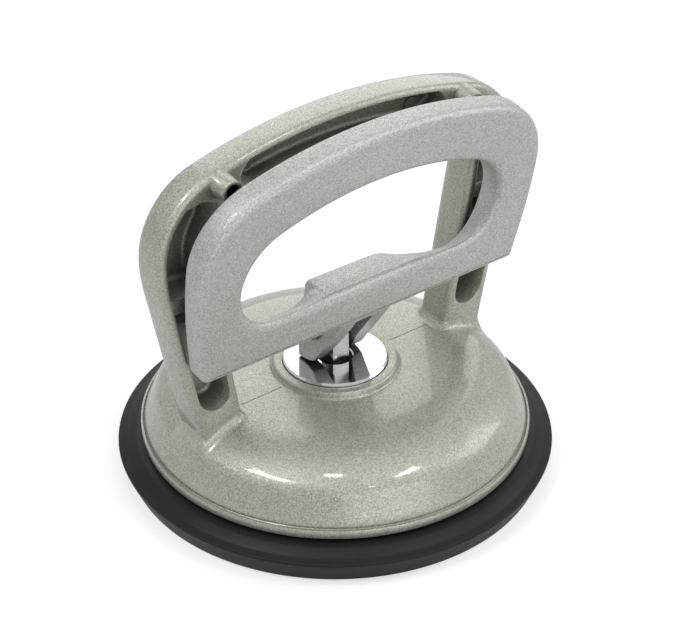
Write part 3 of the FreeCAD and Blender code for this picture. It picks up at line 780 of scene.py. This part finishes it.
def makeTurning():
    g, start, end = newGroup("turning", [("Scale", "NodeSocketFloat", 900.0)],
                             [("Lines", "NodeSocketFloat")])
    place = put(g, "ShaderNodeTexCoord")
    parts = put(g, "ShaderNodeSeparateXYZ")
    square = put(g, "ShaderNodeVectorMath", operation="MULTIPLY")
    square.inputs[1].default_value = (1, 1, 0)
    length = put(g, "ShaderNodeVectorMath", operation="LENGTH")
    pair = put(g, "ShaderNodeCombineXYZ")
    noise = put(g, "ShaderNodeTexNoise", noise_dimensions="2D", Detail=2.0)
    wire(g, place.outputs["Object"], square.inputs[0])
    wire(g, place.outputs["Object"], parts.inputs["Vector"])
    wire(g, square.outputs["Vector"], length.inputs[0])
    wire(g, length.outputs["Value"], pair.inputs["X"])
    wire(g, parts.outputs["Z"], pair.inputs["Y"])
    wire(g, pair.outputs["Vector"], noise.inputs["Vector"])
    wire(g, start.outputs["Scale"], noise.inputs["Scale"])
    wire(g, noise.outputs["Fac"], end.inputs["Lines"])
    return g


flakes, patches = makeFlakes(), makePatches()
hollowShade, turning = makeHollowShade(), makeTurning()


def newMaterial(name, **values):
    material = bpy.data.materials.new(name)
    material.use_nodes = True
    tree = material.node_tree
    surface = tree.nodes["Principled BSDF"]
    for key, value in values.items():
        surface.inputs[key.replace("_", " ")].default_value = value
    return material, tree, surface


def mixColour(tree, factor, a, b):
    node = put(tree, "ShaderNodeMix", data_type="RGBA")
    for socket, value in ((node.inputs[0], factor), (node.inputs[6], a), (node.inputs[7], b)):
        if isinstance(value, (tuple, float, int)):
            socket.default_value = value
        else:
            wire(tree, value, socket)
    return node.outputs[2]


def remap(tree, source, low, high, toLow, toHigh):
    node = put(tree, "ShaderNodeMapRange")
    for index, value in ((1, low), (2, high), (3, toLow), (4, toHigh)):
        node.inputs[index].default_value = value
    wire(tree, source, node.inputs[0])
    return node.outputs[0]


def colour(r, g, b):
    return (r, g, b, 1.0)


def castPaint(name, light, dark, hollow, rough, coat, tilt, hollowReach):
    material, tree, surface = newMaterial(name, Metallic=0.62, Coat_Weight=coat,
                                          Coat_Roughness=0.07, Coat_IOR=1.5)
    grain = useGroup(tree, flakes, Scale=4300.0, Tilt=tilt)
    cloud = useGroup(tree, patches, Scale=26.0, Low=0.35, High=0.75)
    # painted shade: ambient occlusion darkens the paint towards the hollow colour in pockets,
    # creases and under the lever
    recessShade = useGroup(tree, hollowShade, Distance=hollowReach, Low=0.12, High=0.62)
    specks = useGroup(tree, patches, Scale=420.0, Low=0.66, High=0.72)
    base = mixColour(tree, grain.outputs["Tint"], dark, light)
    base = mixColour(tree, remap(tree, cloud.outputs["Mask"], 0, 1, 0, 0.16), base, dark)
    base = mixColour(tree, remap(tree, specks.outputs["Mask"], 0, 1, 0, 0.35), base,
                     colour(0.16, 0.16, 0.15))
    base = mixColour(tree, recessShade.outputs["Mask"], base, hollow)
    wire(tree, base, surface.inputs["Base Color"])
    wire(tree, remap(tree, cloud.outputs["Mask"], 0, 1, rough, rough + 0.08),
         surface.inputs["Roughness"])
    wire(tree, grain.outputs["Normal"], surface.inputs["Normal"])
    return material


# the third colour of each paint is the painted shade colour used in its recesses
bodyPaint = castPaint("castBodyPaint", colour(0.63, 0.63, 0.56), colour(0.31, 0.31, 0.27),
                      colour(0.026, 0.026, 0.019), 0.46, 0.9, 0.15, 0.012)
leverPaint = castPaint("castLeverPaint", colour(0.72, 0.72, 0.69), colour(0.40, 0.40, 0.38),
                       colour(0.045, 0.045, 0.040), 0.48, 0.15, 0.2, 0.020)


def metal(name, light, dark, rough, lines, bumpSize=0.15):
    material, tree, surface = newMaterial(name, Metallic=1.0)
    turned = useGroup(tree, turning, Scale=lines)
    smear = useGroup(tree, patches, Scale=90.0, Low=0.45, High=0.72)
    base = mixColour(tree, turned.outputs["Lines"], dark, light)
    base = mixColour(tree, remap(tree, smear.outputs["Mask"], 0, 1, 0, 0.3), base, dark)
    wire(tree, base, surface.inputs["Base Color"])
    wire(tree, remap(tree, smear.outputs["Mask"], 0, 1, rough, rough + 0.1),
         surface.inputs["Roughness"])
    bump = put(tree, "ShaderNodeBump", Strength=bumpSize, Distance=0.00005)
    wire(tree, turned.outputs["Lines"], bump.inputs["Height"])
    wire(tree, bump.outputs["Normal"], surface.inputs["Normal"])
    return material


chrome = metal("chromeDisc", colour(0.92, 0.93, 0.93), colour(0.82, 0.83, 0.84), 0.045, 700.0, 0.02)
steel = metal("brightSteel", colour(0.90, 0.90, 0.89), colour(0.72, 0.72, 0.71), 0.20, 1500.0)
zinc = metal("zincSteel", colour(0.68, 0.69, 0.71), colour(0.48, 0.49, 0.52), 0.32, 500.0)
springSteel = metal("springSteel", colour(0.34, 0.33, 0.32), colour(0.16, 0.15, 0.14), 0.36, 800.0)
# painted shade: the guide bush is made near black to stand for the shade inside the bore
boreShadeBush = metal("bushInBoreShade", colour(0.060, 0.052, 0.040), colour(0.022, 0.019, 0.015),
                  0.45, 900.0)


def rubberMaterial():
    material, tree, surface = newMaterial("cupRubber", Metallic=0.0, Specular_IOR_Level=0.32)
    dust = useGroup(tree, patches, Scale=120.0, Low=0.52, High=0.8)
    grain = useGroup(tree, patches, Scale=1500.0, Low=0.3, High=0.8)
    base = mixColour(tree, remap(tree, dust.outputs["Mask"], 0, 1, 0, 0.5),
                     colour(0.007, 0.007, 0.007), colour(0.020, 0.020, 0.019))
    wire(tree, base, surface.inputs["Base Color"])
    wire(tree, remap(tree, dust.outputs["Mask"], 0, 1, 0.42, 0.62), surface.inputs["Roughness"])
    bump = put(tree, "ShaderNodeBump", Strength=0.25, Distance=0.0001)
    wire(tree, grain.outputs["Mask"], bump.inputs["Height"])
    wire(tree, bump.outputs["Normal"], surface.inputs["Normal"])
    return material


rubber = rubberMaterial()


# what rides where, and which material each piece takes

def finishPiece(obj, material, *, bodyName=None, stands=()):
    obj.data.materials.clear()
    obj.data.materials.append(material)
    if bodyName:
        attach(obj, bodyName)
    if stands:
        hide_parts(*stands)


finishPiece(housing, bodyPaint, bodyName="body", stands=("housing",))
finishPiece(leverObj, leverPaint, bodyName="lever", stands=("lever",))
finishPiece(cupLip, rubber, bodyName="body", stands=("cup",))
cupDiaphragm.data.materials.clear()
cupDiaphragm.data.materials.append(rubber)
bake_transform(cupDiaphragm)
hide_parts("cup")
springCoil.data.materials.append(springSteel)
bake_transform(springCoil)
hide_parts("return_spring")
nodeFinish = {"wear_disc": chrome, "guide_bush": boreShadeBush, "pull_rod": steel, "pivot_pin": steel,
              "pin_circlip_left": springSteel, "pin_circlip_right": springSteel,
              "backing_plate": zinc, "lock_washer": springSteel, "jam_nut": zinc,
              "spring_seat": zinc}
for name, material in nodeFinish.items():
    for place in nodes[name].material_slots:
        place.material = material
print("materials on")


# floor, lights, camera

def makeStage():
    only(None)
    bpy.ops.mesh.primitive_plane_add(size=3.0)
    floor = bpy.context.object
    floor.name = "floor"
    floor.location.z = -0.0002
    material = bpy.data.materials.new("floorWhite")
    material.use_nodes = True
    tree = material.node_tree
    tree.nodes.clear()
    out = put(tree, "ShaderNodeOutputMaterial")
    matt = put(tree, "ShaderNodeBsdfDiffuse", Color=colour(0.55, 0.55, 0.55))
    glow = put(tree, "ShaderNodeEmission", Color=colour(1, 1, 1), Strength=0.62)
    dark = put(tree, "ShaderNodeEmission", Color=colour(0, 0, 0), Strength=0.0)
    path = put(tree, "ShaderNodeLightPath")
    share = put(tree, "ShaderNodeMixShader")
    total = put(tree, "ShaderNodeAddShader")
    part = put(tree, "ShaderNodeMath", operation="MULTIPLY_ADD", use_clamp=True)
    part.inputs[1].default_value = 0.45
    wire(tree, path.outputs["Is Glossy Ray"], part.inputs[0])
    wire(tree, path.outputs["Is Camera Ray"], part.inputs[2])
    wire(tree, part.outputs[0], share.inputs[0])
    wire(tree, dark.outputs[0], share.inputs[1])
    wire(tree, glow.outputs[0], share.inputs[2])
    wire(tree, matt.outputs[0], total.inputs[0])
    wire(tree, share.outputs[0], total.inputs[1])
    wire(tree, total.outputs[0], out.inputs["Surface"])
    floor.data.materials.append(material)
    world = bpy.data.worlds.new("studio")
    bpy.context.scene.world = world
    world.use_nodes = True
    tree = world.node_tree
    tree.nodes.clear()
    out = put(tree, "ShaderNodeOutputWorld")
    seen = put(tree, "ShaderNodeBackground", Color=colour(1, 1, 1), Strength=1.0)
    lit = put(tree, "ShaderNodeBackground", Color=colour(1.0, 1.0, 0.99), Strength=0.38)
    mirrored = put(tree, "ShaderNodeBackground", Color=colour(1.0, 1.0, 0.99), Strength=0.55)
    glossy = put(tree, "ShaderNodeMixShader")
    path = put(tree, "ShaderNodeLightPath")
    both = put(tree, "ShaderNodeMath", operation="MAXIMUM")
    choose = put(tree, "ShaderNodeMixShader")
    wire(tree, path.outputs["Is Camera Ray"], both.inputs[0])
    wire(tree, path.outputs["Is Transmission Ray"], both.inputs[1])
    wire(tree, both.outputs[0], choose.inputs[0])
    wire(tree, path.outputs["Is Glossy Ray"], glossy.inputs[0])
    wire(tree, lit.outputs[0], glossy.inputs[1])
    wire(tree, mirrored.outputs[0], glossy.inputs[2])
    wire(tree, glossy.outputs[0], choose.inputs[1])
    wire(tree, seen.outputs[0], choose.inputs[2])
    wire(tree, choose.outputs[0], out.inputs["Surface"])


def softLight(name, place, target, size, power, ratio=1.0):
    bpy.ops.object.light_add(type="AREA", location=place)
    light = bpy.context.object
    light.name = name
    light.data.shape = "RECTANGLE"
    light.data.size = size
    light.data.size_y = size * ratio
    light.data.energy = power
    light.rotation_euler = (Vector(target) - Vector(place)).to_track_quat("-Z", "Y").to_euler()


makeStage()
middle = (0, 0, 0.05)
softLight("key", (-0.46, 0.03, 0.78), middle, 0.34, 1.9, 0.4)
softLight("top", (-0.104, -0.12, 0.92), middle, 0.10, 0.30, 0.5)
softLight("frontSpot", (-0.137, -0.626, 0.698), middle, 0.06, 0.16)
softLight("frontTop", (0.22, -0.37, 0.83), middle, 0.20, 0.8, 0.4)
softLight("frontFill", (-0.12, -0.92, 0.14), middle, 0.80, 2.4)
softLight("side", (0.75, -0.35, 0.5), middle, 0.5, 1.6)
softLight("back", (0.54, 0.70, 0.58), middle, 0.9, 2.5)

azimuth, elevation, distance = math.radians(37.4711), math.radians(33.2497), 0.5369534
aim = Vector((0.0016493, 0.0, 0.0421554))
bpy.ops.object.camera_add()
camera = bpy.context.object
away = Vector((-math.cos(elevation) * math.sin(azimuth),
               -math.cos(elevation) * math.cos(azimuth), math.sin(elevation)))
camera.location = aim + distance * away
camera.rotation_euler = (aim - camera.location).to_track_quat("-Z", "Y").to_euler()
camera.data.lens = 105.88
camera.data.sensor_width = 36.0
camera.data.clip_start = 0.01
bpy.context.scene.camera = camera
bpy.context.scene.view_settings.view_transform = "Standard"

print("done")
